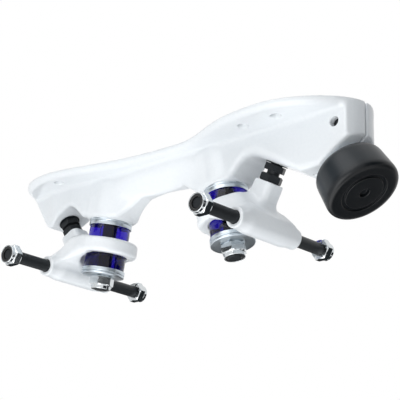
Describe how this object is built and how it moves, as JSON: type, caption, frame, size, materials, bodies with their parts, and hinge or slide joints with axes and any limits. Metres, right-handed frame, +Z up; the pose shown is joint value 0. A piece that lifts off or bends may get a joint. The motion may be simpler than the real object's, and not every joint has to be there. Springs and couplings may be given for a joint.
{
  "type": "roller skate plate",
  "caption": "Cast roller skate sole plate with sprung double-cushion trucks, threaded wheel axles and an adjustable rubber toe stop; carries wheels and bolts under a boot.",
  "frame": {"origin": "on the sole face, on the centre plane, halfway between the two axles", "axes": "+X towards the toe, +Y to the skate's left, +Z up out of the sole face"},
  "size_m": [0.2938, 0.1264, 0.0788],
  "materials": {
    "white_enamel": "gloss white powder coat over cast aluminium",
    "black_oxide_steel": "black oxide",
    "zinc_steel": "bright zinc plate",
    "chrome_steel": "polished",
    "black_nylon": "matt",
    "blue_urethane": "translucent cast urethane",
    "black_rubber": "matt moulded"
  },
  "bodies": {
    "plate": {"plate": "white_enamel", "front_pivot_cup": "black_rubber", "rear_pivot_cup": "black_rubber", "front_kingpin": "black_oxide_steel", "rear_kingpin": "black_oxide_steel", "front_kingpin_nut": "chrome_steel", "rear_kingpin_nut": "chrome_steel", "front_kingpin_nut_insert": "black_nylon", "rear_kingpin_nut_insert": "black_nylon", "front_upper_washer": "zinc_steel", "rear_upper_washer": "zinc_steel", "front_upper_retainer": "zinc_steel", "rear_upper_retainer": "zinc_steel", "front_upper_cushion": "blue_urethane", "rear_upper_cushion": "blue_urethane", "front_lower_cushion": "blue_urethane", "rear_lower_cushion": "blue_urethane", "front_lower_retainer": "zinc_steel", "rear_lower_retainer": "zinc_steel", "front_lower_washer": "zinc_steel", "rear_lower_washer": "zinc_steel", "pinch_bolt": "black_oxide_steel"},
    "front_truck": {"front_hanger": "white_enamel", "front_axle": "black_oxide_steel", "front_pivot_pin": "black_oxide_steel", "front_pivot_lock_nut": "black_oxide_steel"},
    "rear_truck": {"rear_hanger": "white_enamel", "rear_axle": "black_oxide_steel", "rear_pivot_pin": "black_oxide_steel", "rear_pivot_lock_nut": "black_oxide_steel"},
    "toe_stop": {"toe_stop_rubber": "black_rubber", "toe_stop_stem": "zinc_steel", "toe_stop_cap": "zinc_steel"},
    "front_left_nut": {"front_left_axle_nut": "chrome_steel", "front_left_axle_nut_insert": "black_nylon"},
    "front_right_nut": {"front_right_axle_nut": "chrome_steel", "front_right_axle_nut_insert": "black_nylon"},
    "rear_left_nut": {"rear_left_axle_nut": "chrome_steel", "rear_left_axle_nut_insert": "black_nylon"},
    "rear_right_nut": {"rear_right_axle_nut": "chrome_steel", "rear_right_axle_nut_insert": "black_nylon"}
  },
  "joints": [
    {"name": "front_truck_tilt", "type": "hinge", "parent": "plate", "child": "front_truck", "pos_m": [0.05381, 0, -0.05001], "axis": [0.7836, 0, 0.6213], "range_deg": [-8, 8], "stiffness_Nm_per_rad": 25, "deforming": ["front_upper_cushion", "front_lower_cushion"]},
    {"name": "rear_truck_tilt", "type": "hinge", "parent": "plate", "child": "rear_truck", "pos_m": [-0.05381, 0, -0.05001], "axis": [-0.7836, 0, 0.6213], "range_deg": [-8, 8], "stiffness_Nm_per_rad": 25, "deforming": ["rear_upper_cushion", "rear_lower_cushion"]},
    {"name": "toe_stop_slide", "type": "slide", "parent": "plate", "child": "toe_stop", "axis": [0.5299, 0, -0.848], "range_m": [-0.003, 0.012]},
    {"name": "front_left_nut_slide", "type": "slide", "parent": "front_truck", "child": "front_left_nut", "axis": [0, 1, 0], "range_m": [0, 0.045]},
    {"name": "front_right_nut_slide", "type": "slide", "parent": "front_truck", "child": "front_right_nut", "axis": [0, -1, 0], "range_m": [0, 0.045]},
    {"name": "rear_left_nut_slide", "type": "slide", "parent": "rear_truck", "child": "rear_left_nut", "axis": [0, 1, 0], "range_m": [0, 0.045]},
    {"name": "rear_right_nut_slide", "type": "slide", "parent": "rear_truck", "child": "rear_right_nut", "axis": [0, -1, 0], "range_m": [0, 0.045]}
  ]
}
